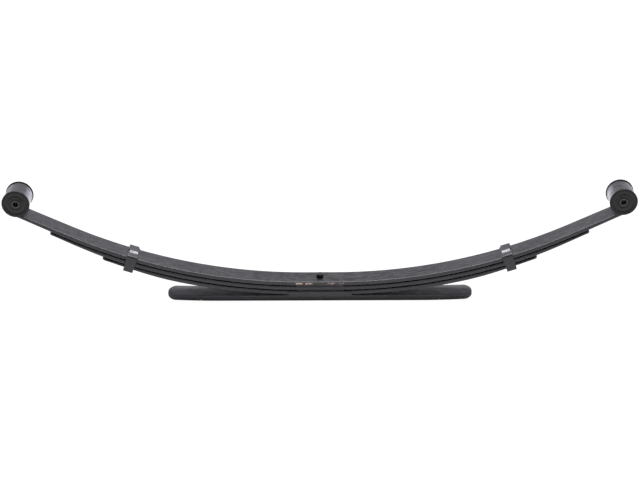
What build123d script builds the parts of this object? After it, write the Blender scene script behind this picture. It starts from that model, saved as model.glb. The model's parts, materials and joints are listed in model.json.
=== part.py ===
"""Light-truck leaf spring: three arched leaves and one flat overload leaf, bolted at the centre.

X runs along the spring (front eye at -X, rear eye at +X), Y across the bars, Z up.
The origin is on the underside of the overload leaf, below the centre bolt. Millimetres.
"""

from build123d import *
from math import asin, cos, degrees, radians, sin
import os

os.makedirs("parts", exist_ok=True)

# ---- driving dimensions ----------------------------------------------------------------------

# Bars and centre stack, from the bottom up
BAR_WIDTH = 63.5
LEAF_THICKNESS = 10.8
LEAF_GAP = 2.7
SADDLE_WEB = 1.5
OVERLOAD_THICKNESS = 17.0
BAR_EDGE_RADIUS = 2.5

# Arch of the main leaf's top face: flat seat, then one arc, then a straight run to the eye
SEAT_HALF = 42.0
ARCH_RADIUS = 1452.0
ARCH_ANGLE = 25.25
EYE_RUN = 156.6

# Eyes, rolled upwards out of the main leaf
EYE_BORE_RADIUS = 26.0
EYE_WALL = 8.6
EYE_WRAP_ANGLE = 317.0

# Tips of the shorter leaves
SECOND_TIP_RUN = 45.0
SECOND_TIP_THICKNESS = 5.5
THIRD_TIP_ANGLE = 21.1
THIRD_TIP_THICKNESS = 5.0
TIP_TAPER_LENGTH = 200.0
TIP_CORNER_RADIUS = 9.0

# Overload leaf: flat in the middle, tips thinned and turned up a little
OVERLOAD_HALF = 408.0
OVERLOAD_FLAT_HALF = 265.0
OVERLOAD_TOP_RISE = 2.0
OVERLOAD_UNDER_RISE = 4.5
OVERLOAD_CORNER_RADIUS = 28.0
OVERLOAD_EDGE_RADIUS = 4.0

# Centre bolt, its round head on top and its nut let into the overload leaf
BOLT_RADIUS = 6.0
BOLT_HOLE_RADIUS = 6.3
BOLT_HEAD_RADIUS = 9.2
BOLT_HEAD_HEIGHT = 11.0
BOLT_SPOT_RADIUS = 9.6
BOLT_SPOT_DEPTH = 0.5
BOLT_COLLAR_RADIUS = 8.9
BOLT_COLLAR_HEIGHT = 0.6
NUT_ACROSS_FLATS = 19.0
NUT_HEIGHT = 7.0
NUT_RECESS_RADIUS = 12.5
NUT_RECESS_DEPTH = 8.2
BOLT_END_INSET = 0.6

# Liners between the leaves at the centre, and the lipped saddle on the overload leaf
LINER_HALF_LENGTH = 63.0
LINER_HALF_WIDTH = 30.5
SADDLE_HALF_LENGTH = 85.0
SADDLE_LIP_THICKNESS = 2.8
SADDLE_LIP_DROP = 2.5
SADDLE_LIP_RISE = 10.5
SADDLE_END_RADIUS = 6.0

# Rebound clips
CLIP_STATION = 497.0
CLIP_LENGTH = 26.0
CLIP_THICKNESS = 4.0
CLIP_CORNER_RADIUS = 5.5
CLIP_LINER_TOP = 2.0
CLIP_LINER_SIDE = 1.5
CLIP_LINER_LENGTH = 30.0
CLIP_LINER_DROP = 20.0
CLIP_SLOT_CENTRE = -5.0
CLIP_SLOT_WIDTH = 18.0
CLIP_RIB_WIDTH = 17.0
CLIP_RIB_HEIGHT = 3.0
RIVET_RADIUS = 4.0
RIVET_HEAD_RADIUS = 7.0
RIVET_TOP_HEAD = 1.7
RIVET_BOTTOM_HEAD = 3.0

# Slip pads at the tips of the second and third leaves
PAD_LENGTH = 36.0
PAD_WIDTH = 50.0
PAD_TIP_DISTANCE = 26.0
PAD_STUD_RADIUS = 4.0
PAD_STUD_DEPTH = 8.0

# Two-piece flanged bushes and the steel sleeves through them
BUSH_SPLIT_GAP = 1.0
BUSH_FLANGE_RADIUS = 36.6
BUSH_FLANGE_THICKNESS = 2.4
BUSH_FLANGE_EDGE = 0.8
BUSH_RING_INNER = 17.0
BUSH_RING_OUTER = 20.5
BUSH_RING_DEPTH = 1.0
SLEEVE_OUTER_RADIUS = 10.5
SLEEVE_BORE_RADIUS = 7.1
SLEEVE_HALF_LENGTH = 35.0
SLEEVE_CHAMFER = 0.8

# Clearances
BODY_CLEARANCE = 0.3
RUNNING_CLEARANCE = 0.05
HOLE_CLEARANCE = 0.5

# ---- derived sizes ---------------------------------------------------------------------------

HALF_WIDTH = BAR_WIDTH / 2
LEAF_PITCH = LEAF_THICKNESS + LEAF_GAP
SADDLE_TOP = OVERLOAD_THICKNESS + SADDLE_WEB
MAIN_TOP = SADDLE_TOP + 3 * LEAF_THICKNESS + 2 * LEAF_GAP
PACK_DEPTH = 3 * LEAF_THICKNESS + 2 * LEAF_GAP
SECOND_DEPTH = LEAF_PITCH
THIRD_DEPTH = 2 * LEAF_PITCH
CLIP_ANGLE = degrees(asin((CLIP_STATION - SEAT_HALF) / ARCH_RADIUS))
SIDES = {"front": -1, "rear": 1}


def arch_point(depth, angle, run=0.0):
    """Point (x, z) of the +X half, `depth` below the main leaf's top face, at an arc angle and a
    straight run past it."""
    radius = ARCH_RADIUS + depth
    x = SEAT_HALF + radius * sin(radians(angle)) + run * cos(radians(angle))
    z = MAIN_TOP + ARCH_RADIUS - radius * cos(radians(angle)) + run * sin(radians(angle))
    return x, z


def arch_plane(side, depth, angle, run=0.0):
    """Section plane across the leaves: local x along +Y, local y along the leaf's upward normal."""
    x, z = arch_point(depth, angle, run)
    return Plane(
        origin=(side * x, 0, z),
        x_dir=(0, 1, 0),
        z_dir=(cos(radians(angle)), 0, side * sin(radians(angle))),
    )


def face_plane(side, depth, angle, run=0.0):
    """Plane lying on a leaf face: local x along +Y, normal along the leaf's upward normal."""
    x, z = arch_point(depth, angle, run)
    return Plane(
        origin=(side * x, 0, z),
        x_dir=(0, 1, 0),
        z_dir=(-side * sin(radians(angle)), 0, cos(radians(angle))),
    )


def pad_plane(side, node):
    """Where a tip pad lies: on the top face of its leaf, a little way back from the tip."""
    if node == "second":
        return face_plane(side, SECOND_DEPTH, ARCH_ANGLE, SECOND_TIP_RUN - PAD_TIP_DISTANCE)
    back = degrees(PAD_TIP_DISTANCE / (ARCH_RADIUS + THIRD_DEPTH))
    return face_plane(side, THIRD_DEPTH, THIRD_TIP_ANGLE - back)


def finish(builder, name):
    """Label a finished piece and write its STEP file."""
    builder.part.label = name
    export_step(builder.part, f"parts/{name}.step")
    return builder


EYE_FOOT = arch_point(0, ARCH_ANGLE, EYE_RUN)
EYE_X = EYE_FOOT[0] - EYE_BORE_RADIUS * sin(radians(ARCH_ANGLE))
EYE_Z = EYE_FOOT[1] + EYE_BORE_RADIUS * cos(radians(ARCH_ANGLE))

print(f"main leaf seat at z {MAIN_TOP:.2f}, eye centres at x {EYE_X:.2f}, z {EYE_Z:.2f}")
print(f"eye to eye {2 * EYE_X:.1f}, arch height {EYE_Z - MAIN_TOP:.1f}, clip angle {CLIP_ANGLE:.2f}")

# ---- main leaf with its rolled eyes ----------------------------------------------------------

EYE_OUTER_RADIUS = EYE_BORE_RADIUS + EYE_WALL
EYE_START_ANGLE = ARCH_ANGLE - 90

with BuildPart() as main_leaf:
    with BuildSketch(Plane.XZ):
        with BuildLine():
            top_seat = Line((0, MAIN_TOP), (SEAT_HALF, MAIN_TOP))
            top_arc = JernArc(top_seat @ 1, top_seat % 1, ARCH_RADIUS, ARCH_ANGLE)
            top_run = Line(top_arc @ 1, EYE_FOOT)
            wrap_inner = CenterArc((EYE_X, EYE_Z), EYE_BORE_RADIUS, EYE_START_ANGLE, EYE_WRAP_ANGLE)
            wrap_outer = CenterArc((EYE_X, EYE_Z), EYE_OUTER_RADIUS, EYE_START_ANGLE, EYE_WRAP_ANGLE)
            Line(wrap_inner @ 1, wrap_outer @ 1)
            under_seat = Line((0, MAIN_TOP - LEAF_THICKNESS), (SEAT_HALF, MAIN_TOP - LEAF_THICKNESS))
            under_arc = JernArc(under_seat @ 1, under_seat % 1, ARCH_RADIUS + LEAF_THICKNESS, ARCH_ANGLE)
            Spline(under_arc @ 1, wrap_outer @ 0, tangents=(under_arc % 1, wrap_outer % 0))
            mirror(about=Plane.YZ)
        make_face()
    extrude(amount=HALF_WIDTH, both=True)
    with Locations((0, 0, MAIN_TOP)):
        Cylinder(BOLT_HOLE_RADIUS, 4 * LEAF_THICKNESS, mode=Mode.SUBTRACT)
        Cylinder(BOLT_SPOT_RADIUS, 2 * BOLT_SPOT_DEPTH, mode=Mode.SUBTRACT)
    long_edges = main_leaf.faces().filter_by(Axis.Y).edges()
    chamfer(long_edges, length=BAR_EDGE_RADIUS / 2)

finish(main_leaf, "main_leaf")

# ---- second and third leaves -----------------------------------------------------------------


def plain_leaf(name, depth, tip_angle, tip_run, tip_thickness):
    """A leaf that follows the arch `depth` below the main leaf's top face, its tip thinned from
    below, its corners rounded, with a bolt hole and a hole for each tip pad's stud."""
    under = depth + LEAF_THICKNESS
    taper_arc = degrees((TIP_TAPER_LENGTH - tip_run) / (ARCH_RADIUS + under))
    under_angle = tip_angle - taper_arc
    tip_top = arch_point(depth, tip_angle, tip_run)
    tip_under = arch_point(depth + tip_thickness, tip_angle, tip_run)
    with BuildPart() as leaf:
        with BuildSketch(Plane.XZ):
            with BuildLine():
                top_seat = Line((0, MAIN_TOP - depth), (SEAT_HALF, MAIN_TOP - depth))
                top_arc = JernArc(top_seat @ 1, top_seat % 1, ARCH_RADIUS + depth, tip_angle)
                if tip_run > 0:
                    Line(top_arc @ 1, tip_top)
                Line(tip_top, tip_under)
                under_seat = Line((0, MAIN_TOP - under), (SEAT_HALF, MAIN_TOP - under))
                under_arc = JernArc(under_seat @ 1, under_seat % 1, ARCH_RADIUS + under, under_angle)
                Spline(under_arc @ 1, tip_under, tangents=(under_arc % 1, top_arc % 1))
                mirror(about=Plane.YZ)
            make_face()
        extrude(amount=HALF_WIDTH, both=True)
        tips = leaf.faces().sort_by(Axis.X)
        corners = (tips[0].edges() + tips[-1].edges()).filter_by(lambda e: e.length < HALF_WIDTH)
        fillet(corners, radius=TIP_CORNER_RADIUS)
        with Locations((0, 0, MAIN_TOP - depth)):
            Cylinder(BOLT_HOLE_RADIUS, 4 * LEAF_THICKNESS, mode=Mode.SUBTRACT)
        for side in SIDES.values():
            with BuildSketch(pad_plane(side, name)):
                Circle(PAD_STUD_RADIUS + HOLE_CLEARANCE)
            extrude(amount=2 * LEAF_THICKNESS, both=True, mode=Mode.SUBTRACT)
        if name == "third":
            for side in SIDES.values():
                with BuildSketch(face_plane(side, depth, CLIP_ANGLE)):
                    Circle(RIVET_RADIUS + HOLE_CLEARANCE)
                extrude(amount=2 * LEAF_THICKNESS, both=True, mode=Mode.SUBTRACT)
        sides = leaf.faces().filter_by(Axis.Y).edges()
        chamfer(sides.filter_by(lambda e: e.length > TIP_TAPER_LENGTH / 2), length=BAR_EDGE_RADIUS / 2)
    return finish(leaf, f"{name}_leaf")


second_leaf = plain_leaf("second", SECOND_DEPTH, ARCH_ANGLE, SECOND_TIP_RUN, SECOND_TIP_THICKNESS)
third_leaf = plain_leaf("third", THIRD_DEPTH, THIRD_TIP_ANGLE, 0.0, THIRD_TIP_THICKNESS)

# ---- overload leaf ---------------------------------------------------------------------------

with BuildPart() as overload_leaf:
    with BuildSketch(Plane.XZ):
        with BuildLine():
            top_flat = Line((0, OVERLOAD_THICKNESS), (OVERLOAD_FLAT_HALF, OVERLOAD_THICKNESS))
            tip_top = (OVERLOAD_HALF, OVERLOAD_THICKNESS + OVERLOAD_TOP_RISE)
            tip_under = (OVERLOAD_HALF, OVERLOAD_UNDER_RISE)
            TangentArc(top_flat @ 1, tip_top, tangent=top_flat % 1)
            Line(tip_top, tip_under)
            under_flat = Line((0, 0), (OVERLOAD_FLAT_HALF, 0))
            TangentArc(under_flat @ 1, tip_under, tangent=under_flat % 1)
            mirror(about=Plane.YZ)
        make_face()
    extrude(amount=HALF_WIDTH, both=True)
    ends = overload_leaf.faces().sort_by(Axis.X)
    end_edges = (ends[0].edges() + ends[-1].edges()).filter_by(lambda e: e.length < HALF_WIDTH)
    fillet(end_edges, radius=OVERLOAD_CORNER_RADIUS)
    rim_edges = overload_leaf.edges().filter_by(lambda e: abs(e.center().Y) > HALF_WIDTH - 0.1)
    fillet(rim_edges.filter_by(lambda e: e.length > HALF_WIDTH), radius=OVERLOAD_EDGE_RADIUS)
    Cylinder(BOLT_HOLE_RADIUS, 4 * OVERLOAD_THICKNESS, mode=Mode.SUBTRACT)
    Cylinder(NUT_RECESS_RADIUS, 2 * NUT_RECESS_DEPTH, mode=Mode.SUBTRACT)

finish(overload_leaf, "overload_leaf")

# ---- centre bolt and nut ---------------------------------------------------------------------

with BuildPart() as centre_bolt:
    with BuildSketch(Plane.XY.offset(BOLT_END_INSET)):
        Circle(BOLT_RADIUS)
    extrude(amount=MAIN_TOP - BOLT_END_INSET)
    with BuildSketch(Plane.XY.offset(MAIN_TOP - BOLT_SPOT_DEPTH)):
        Circle(BOLT_COLLAR_RADIUS)
    extrude(amount=BOLT_COLLAR_HEIGHT)
    with BuildSketch(Plane.XY.offset(MAIN_TOP - BOLT_SPOT_DEPTH + BOLT_COLLAR_HEIGHT)):
        Circle(BOLT_HEAD_RADIUS)
    extrude(amount=BOLT_SPOT_DEPTH + BOLT_HEAD_HEIGHT - BOLT_COLLAR_HEIGHT)
    chamfer(centre_bolt.edges().sort_by(Axis.Z)[-1], length=1.2)
    chamfer(centre_bolt.edges().sort_by(Axis.Z)[0], length=1.0)

finish(centre_bolt, "centre_bolt")

with BuildPart() as centre_nut:
    with BuildSketch(Plane.XY.offset(NUT_RECESS_DEPTH - NUT_HEIGHT)):
        RegularPolygon(NUT_ACROSS_FLATS / 2, 6, major_radius=False)
        Circle(BOLT_RADIUS + RUNNING_CLEARANCE, mode=Mode.SUBTRACT)
    extrude(amount=NUT_HEIGHT)

finish(centre_nut, "centre_nut")

# ---- liners between the leaves at the centre -------------------------------------------------


def centre_liner(name, depth):
    """A plate that fills the gap `depth` below the main leaf's top face, on both sides of the bolt."""
    angle = degrees((LINER_HALF_LENGTH - SEAT_HALF) / (ARCH_RADIUS + depth))
    with BuildPart() as liner:
        with BuildSketch(Plane.XZ):
            with BuildLine():
                upper_seat = Line((0, MAIN_TOP - depth), (SEAT_HALF, MAIN_TOP - depth))
                upper_arc = JernArc(upper_seat @ 1, upper_seat % 1, ARCH_RADIUS + depth, angle)
                lower = depth + LEAF_GAP
                lower_seat = Line((0, MAIN_TOP - lower), (SEAT_HALF, MAIN_TOP - lower))
                lower_arc = JernArc(lower_seat @ 1, lower_seat % 1, ARCH_RADIUS + lower, angle)
                Line(upper_arc @ 1, lower_arc @ 1)
                mirror(about=Plane.YZ)
            make_face()
        extrude(amount=LINER_HALF_WIDTH, both=True)
        with Locations((0, 0, MAIN_TOP - depth)):
            Cylinder(BOLT_HOLE_RADIUS, 4 * LEAF_GAP, mode=Mode.SUBTRACT)
    return finish(liner, name)


upper_centre_liner = centre_liner("upper_centre_liner", LEAF_THICKNESS)
lower_centre_liner = centre_liner("lower_centre_liner", LEAF_THICKNESS + LEAF_PITCH)

# ---- lipped saddle between the third leaf and the overload leaf ------------------------------

LIP_INNER = HALF_WIDTH + BODY_CLEARANCE
LIP_OUTER = LIP_INNER + SADDLE_LIP_THICKNESS
LIP_BOTTOM = OVERLOAD_THICKNESS - SADDLE_LIP_DROP
LIP_TOP = SADDLE_TOP + SADDLE_LIP_RISE

with BuildPart() as pack_saddle:
    with BuildSketch(Plane.XY.offset(OVERLOAD_THICKNESS)):
        Rectangle(2 * SADDLE_HALF_LENGTH - 2 * SADDLE_END_RADIUS, 2 * LIP_INNER)
        Circle(BOLT_HOLE_RADIUS, mode=Mode.SUBTRACT)
    extrude(amount=SADDLE_WEB)
    for lip_start in (LIP_INNER, -LIP_OUTER):
        with BuildSketch(Plane.XZ.offset(-lip_start)):
            with Locations((0, (LIP_BOTTOM + LIP_TOP) / 2)):
                RectangleRounded(2 * SADDLE_HALF_LENGTH, LIP_TOP - LIP_BOTTOM, SADDLE_END_RADIUS)
        extrude(amount=-SADDLE_LIP_THICKNESS)

finish(pack_saddle, "pack_saddle")

# ---- rebound clips, their liners and rivets --------------------------------------------------

CLIP_INNER_HALF = HALF_WIDTH + BODY_CLEARANCE + CLIP_LINER_SIDE
CLIP_OUTER_HALF = CLIP_INNER_HALF + CLIP_THICKNESS
CLIP_INNER_TOP = BODY_CLEARANCE + CLIP_LINER_TOP
CLIP_OUTER_TOP = CLIP_INNER_TOP + CLIP_THICKNESS
CLIP_INNER_BOTTOM = -PACK_DEPTH - BODY_CLEARANCE
CLIP_OUTER_BOTTOM = CLIP_INNER_BOTTOM - CLIP_THICKNESS


def make_clip(end, side):
    """Strap bent round the pack and closed by two tabs over the main leaf, its liner and its rivet."""
    section = arch_plane(side, 0, CLIP_ANGLE)
    across = face_plane(side, 0, CLIP_ANGLE)
    with BuildPart() as clip:
        with BuildSketch(section):
            with Locations((0, (CLIP_OUTER_TOP + CLIP_OUTER_BOTTOM) / 2)):
                RectangleRounded(2 * CLIP_OUTER_HALF, CLIP_OUTER_TOP - CLIP_OUTER_BOTTOM, CLIP_CORNER_RADIUS)
            with Locations((0, (CLIP_INNER_TOP + CLIP_INNER_BOTTOM) / 2)):
                RectangleRounded(
                    2 * CLIP_INNER_HALF,
                    CLIP_INNER_TOP - CLIP_INNER_BOTTOM,
                    CLIP_CORNER_RADIUS - CLIP_THICKNESS,
                    mode=Mode.SUBTRACT,
                )
            with Locations((CLIP_SLOT_CENTRE, (CLIP_INNER_TOP + CLIP_OUTER_TOP) / 2)):
                Rectangle(CLIP_SLOT_WIDTH, 2 * CLIP_THICKNESS, mode=Mode.SUBTRACT)
        extrude(amount=CLIP_LENGTH / 2, both=True)
        with BuildSketch(across.offset(CLIP_INNER_BOTTOM)):
            Circle(RIVET_RADIUS + RUNNING_CLEARANCE)
        extrude(amount=-2 * CLIP_THICKNESS, mode=Mode.SUBTRACT)
    finish(clip, f"{end}_clip")

    liner_inner = HALF_WIDTH + BODY_CLEARANCE
    with BuildPart() as liner:
        with BuildSketch(section):
            with Locations((0, CLIP_INNER_TOP)):
                Rectangle(2 * CLIP_INNER_HALF, CLIP_LINER_DROP, align=(Align.CENTER, Align.MAX))
            with Locations((0, BODY_CLEARANCE)):
                Rectangle(2 * liner_inner, CLIP_LINER_DROP, align=(Align.CENTER, Align.MAX), mode=Mode.SUBTRACT)
        extrude(amount=CLIP_LINER_LENGTH / 2, both=True)
        upper = liner.edges().filter_by(Axis(section.origin, section.z_dir)).sort_by(Axis.Z)
        outer = upper.filter_by(lambda e: abs(abs(e.center().Y) - CLIP_INNER_HALF) < 0.01)
        fillet(outer.sort_by(Axis.Z)[-2:], radius=CLIP_CORNER_RADIUS - CLIP_THICKNESS)
        with BuildSketch(across.offset(CLIP_INNER_TOP)):
            with Locations((CLIP_SLOT_CENTRE, 0)):
                Rectangle(CLIP_RIB_WIDTH, CLIP_LENGTH)
        extrude(amount=CLIP_RIB_HEIGHT)
    finish(liner, f"{end}_clip_liner")

    with BuildPart() as rivet:
        top_of_head = -THIRD_DEPTH + BODY_CLEARANCE + RIVET_TOP_HEAD
        with BuildSketch(across.offset(top_of_head)):
            Circle(RIVET_HEAD_RADIUS)
        extrude(amount=-RIVET_TOP_HEAD)
        with BuildSketch(across.offset(top_of_head)):
            Circle(RIVET_RADIUS)
        extrude(amount=CLIP_OUTER_BOTTOM - top_of_head)
        with BuildSketch(across.offset(CLIP_OUTER_BOTTOM)):
            Circle(RIVET_HEAD_RADIUS)
        extrude(amount=-RIVET_BOTTOM_HEAD, taper=25)
    finish(rivet, f"{end}_clip_rivet")


for end, side in SIDES.items():
    make_clip(end, side)

# ---- slip pads at the leaf tips --------------------------------------------------------------


def tip_pad(node, end, side):
    """A pad in the gap above a leaf's tip, with a stud that drops into the leaf."""
    face = pad_plane(side, node)
    with BuildPart() as pad:
        with BuildSketch(face.offset(BODY_CLEARANCE)):
            RectangleRounded(PAD_WIDTH, PAD_LENGTH, 6)
        extrude(amount=LEAF_GAP - 2 * BODY_CLEARANCE)
        with BuildSketch(face.offset(BODY_CLEARANCE)):
            Circle(PAD_STUD_RADIUS)
        extrude(amount=-PAD_STUD_DEPTH)
    finish(pad, f"{node}_leaf_{end}_pad")


for node in ("second", "third"):
    for end, side in SIDES.items():
        tip_pad(node, end, side)

# ---- eye bushes and inner sleeves ------------------------------------------------------------

FLANGE_INNER_FACE = HALF_WIDTH + BODY_CLEARANCE
FLANGE_OUTER_FACE = FLANGE_INNER_FACE + BUSH_FLANGE_THICKNESS


def bush_half(end, eye_side, name, y_side):
    """One flanged half of a bush, revolved about the eye's axis."""
    centre = Vector(eye_side * EYE_X, 0, EYE_Z)
    bore = SLEEVE_OUTER_RADIUS + RUNNING_CLEARANCE
    barrel = EYE_BORE_RADIUS - BODY_CLEARANCE
    with BuildPart() as half:
        with BuildSketch(Plane(origin=centre, x_dir=(1, 0, 0), z_dir=(0, 0, 1))):
            with BuildLine():
                Polyline(
                    (bore, y_side * BUSH_SPLIT_GAP / 2),
                    (barrel, y_side * BUSH_SPLIT_GAP / 2),
                    (barrel, y_side * FLANGE_INNER_FACE),
                    (BUSH_FLANGE_RADIUS, y_side * FLANGE_INNER_FACE),
                    (BUSH_FLANGE_RADIUS, y_side * (FLANGE_OUTER_FACE - BUSH_FLANGE_EDGE)),
                    (BUSH_FLANGE_RADIUS - BUSH_FLANGE_EDGE, y_side * FLANGE_OUTER_FACE),
                    (BUSH_RING_OUTER, y_side * FLANGE_OUTER_FACE),
                    (BUSH_RING_OUTER, y_side * (FLANGE_OUTER_FACE - BUSH_RING_DEPTH)),
                    (BUSH_RING_INNER, y_side * (FLANGE_OUTER_FACE - BUSH_RING_DEPTH)),
                    (BUSH_RING_INNER, y_side * FLANGE_OUTER_FACE),
                    (bore, y_side * FLANGE_OUTER_FACE),
                    close=True,
                )
            make_face()
        revolve(axis=Axis(centre, (0, 1, 0)))
    finish(half, f"{end}_bush_{name}")


def inner_sleeve(end, eye_side):
    """The steel tube that the mounting bolt goes through."""
    centre = Vector(eye_side * EYE_X, 0, EYE_Z)
    with BuildPart() as sleeve:
        with BuildSketch(Plane(origin=centre, x_dir=(1, 0, 0), z_dir=(0, -1, 0))):
            Circle(SLEEVE_OUTER_RADIUS)
            Circle(SLEEVE_BORE_RADIUS, mode=Mode.SUBTRACT)
        extrude(amount=SLEEVE_HALF_LENGTH, both=True)
        rims = sleeve.faces().filter_by(Axis.Y).edges()
        outer_rims = rims.filter_by(lambda e: e.radius > SLEEVE_BORE_RADIUS + 1)
        chamfer(outer_rims, length=SLEEVE_CHAMFER)
    finish(sleeve, f"{end}_inner_sleeve")


for end, side in SIDES.items():
    bush_half(end, side, "left", -1)
    bush_half(end, side, "right", 1)
    inner_sleeve(end, side)
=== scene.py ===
# %% [markdown]
# # A truck's leaf spring
#
# A leaf spring is a stack of arched steel bars. The longest bar, the main leaf, is rolled at both ends
# into eyes that hold rubber bushes. A bolt clamps the bars at the centre, and two clips keep them in
# line when the wheel drops. Everything below is built in metres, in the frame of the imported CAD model.

import json
from math import cos, pi, radians, sin

import bpy
import numpy as np
from mathutils import Matrix, Vector


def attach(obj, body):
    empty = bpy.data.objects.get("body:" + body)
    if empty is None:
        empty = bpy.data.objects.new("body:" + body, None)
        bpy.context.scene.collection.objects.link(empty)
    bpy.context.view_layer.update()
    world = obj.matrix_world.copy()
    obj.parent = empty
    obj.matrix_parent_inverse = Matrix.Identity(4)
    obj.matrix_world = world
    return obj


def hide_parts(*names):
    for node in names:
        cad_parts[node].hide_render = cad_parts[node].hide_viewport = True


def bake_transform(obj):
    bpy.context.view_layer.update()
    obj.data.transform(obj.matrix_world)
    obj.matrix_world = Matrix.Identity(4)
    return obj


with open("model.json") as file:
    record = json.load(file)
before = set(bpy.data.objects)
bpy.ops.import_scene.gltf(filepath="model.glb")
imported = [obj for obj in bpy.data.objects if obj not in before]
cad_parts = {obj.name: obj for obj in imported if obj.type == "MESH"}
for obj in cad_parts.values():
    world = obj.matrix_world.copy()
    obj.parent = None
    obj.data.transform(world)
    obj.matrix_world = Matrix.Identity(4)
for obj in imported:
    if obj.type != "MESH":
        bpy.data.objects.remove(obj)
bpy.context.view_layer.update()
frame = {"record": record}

# %% [markdown]
# ## The spring's sizes
#
# The eye's centre and the height of the seat come from the record's mounts. The rest are the sizes a
# spring maker would write on a drawing: bar width, thickness, gaps, and how the arch is bent. They are
# kept as plain names here, so that each piece below reads like a note to the workshop.

# %% Sizes and places
MM = 0.001
mounts = {mount["name"]: mount for mount in frame["record"]["mounts"]}
EYE_X, _, EYE_Z = mounts["rear_eye_bore"]["pos_m"]
SEAT_Z = mounts["axle_seat"]["pos_m"][2]
SIDES = {"front": -1, "rear": 1}

BAR_WIDTH = 63.5 * MM
LEAF_THICKNESS = 10.8 * MM
LEAF_GAP = 2.7 * MM
LEAF_PITCH = LEAF_THICKNESS + LEAF_GAP
PACK_DEPTH = 3 * LEAF_THICKNESS + 2 * LEAF_GAP
SEAT_HALF = 42 * MM
ARCH_RADIUS = 1452 * MM
ARCH_ANGLE = radians(25.25)
EYE_RUN = 156.6 * MM
EYE_BORE = 26 * MM
EYE_WALL = 8.6 * MM
EYE_WRAP = radians(316)
FIT_GAP = 0.3 * MM

ARCH_END = SEAT_HALF + ARCH_RADIUS * ARCH_ANGLE
EYE_FOOT = ARCH_END + EYE_RUN
print(f"the main leaf's line is {2 * EYE_FOOT:.3f} m long between the eyes' feet")

# %% [markdown]
# ## The line that the leaves follow
#
# The stacked leaves share one arch: flat under the clamp, then a long arc, then a straight run to the
# eye. A curve object could draw it, but a function of distance is handier: every leaf, liner, pad and
# clip asks it where it lies and which way is up, and the leaves below simply sit deeper along that
# same direction.

# %% The arch as a function of distance


def arch_line(distance):
    """Point and upward normal on the main leaf's top line, at a distance from the centre bolt.

    x grows as the distance on the seat, then as R sin(turn) on the arc, then as cos(turn) on the run.
    Past the eye's foot, the line goes on round the eye's centre at the bore's radius.
    Negative distances give the other half.
    """
    way = np.where(distance < 0, -1.0, 1.0)
    s = np.abs(distance)
    turn = np.clip((s - SEAT_HALF) / ARCH_RADIUS, 0, ARCH_ANGLE)
    run = np.clip(s - ARCH_END, 0, EYE_RUN)
    roll = turn + np.maximum(s - EYE_FOOT, 0) / EYE_BORE
    x = np.minimum(s, SEAT_HALF) + ARCH_RADIUS * np.sin(turn) + run * np.cos(turn)
    z = SEAT_Z + ARCH_RADIUS * (1 - np.cos(turn)) + run * np.sin(turn)
    x = x + EYE_BORE * (np.sin(roll) - np.sin(turn))
    z = z + EYE_BORE * (np.cos(turn) - np.cos(roll))
    level = np.zeros_like(s)
    return np.stack([way * x, level, z], -1), np.stack([-way * np.sin(roll), level, np.cos(roll)], -1)


def leaf_line(side, depth):
    """The arch line of one half, a depth below the main leaf's top face."""

    def line(distance):
        point, up = arch_line(side * np.maximum(distance, 1e-9))
        return point - depth * up, up

    return line


foot, foot_up = arch_line(np.array([EYE_FOOT]))
eye_found = (foot + EYE_BORE * foot_up)[0]
print("eye centre from the arch:", np.round(eye_found, 5), "from the record:", (EYE_X, EYE_Z))

# %% [markdown]
# ## A bar carried along a line
#
# Nearly every piece is a flat bar with softened edges, so one surface makes them all. It is a grid of
# points: one direction steps along the line, the other walks round the section. Trims pull the ends
# back at each side, which rounds a tip in plan or leaves half of a bolt hole. Bending a subdivided
# cube with modifiers would give a similar shape, with much less say over its edges.

# %% The bar surface
EDGE_STEPS = 5
END_STEPS = 4


def bar_section(width, edge, extra_columns=()):
    """Upper half of a bar's outline, from side to side.

    Returns across (y), the drop of the rounded edge, a flag for the two points at half height, and
    how much each point lies on a rounded edge: drop = edge (1 - sin q) while y moves by edge (1 - cos q).
    """
    q = np.linspace(0, pi / 2, EDGE_STEPS + 1)
    half = width / 2
    flat = np.concatenate([np.linspace(-half + edge, half - edge, 15), np.asarray(extra_columns, float)])
    flat = np.unique(np.round(flat[np.abs(flat) < half - edge - 1e-5], 6))
    side_y = -half + edge * (1 - np.cos(q))
    side_drop = edge * (1 - np.sin(q))
    y = np.concatenate([[-half], side_y, flat, -side_y[::-1], [half]])
    drop = np.concatenate([[0], side_drop, 0 * flat, side_drop[::-1], [0]])
    middle = np.concatenate([[1], 0 * q, 0 * flat, 0 * q, [1]])
    on_edge = np.concatenate([[0], np.sin(2 * q), 0 * flat, np.sin(2 * q), [0]])
    return y, drop, middle, on_edge


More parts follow.
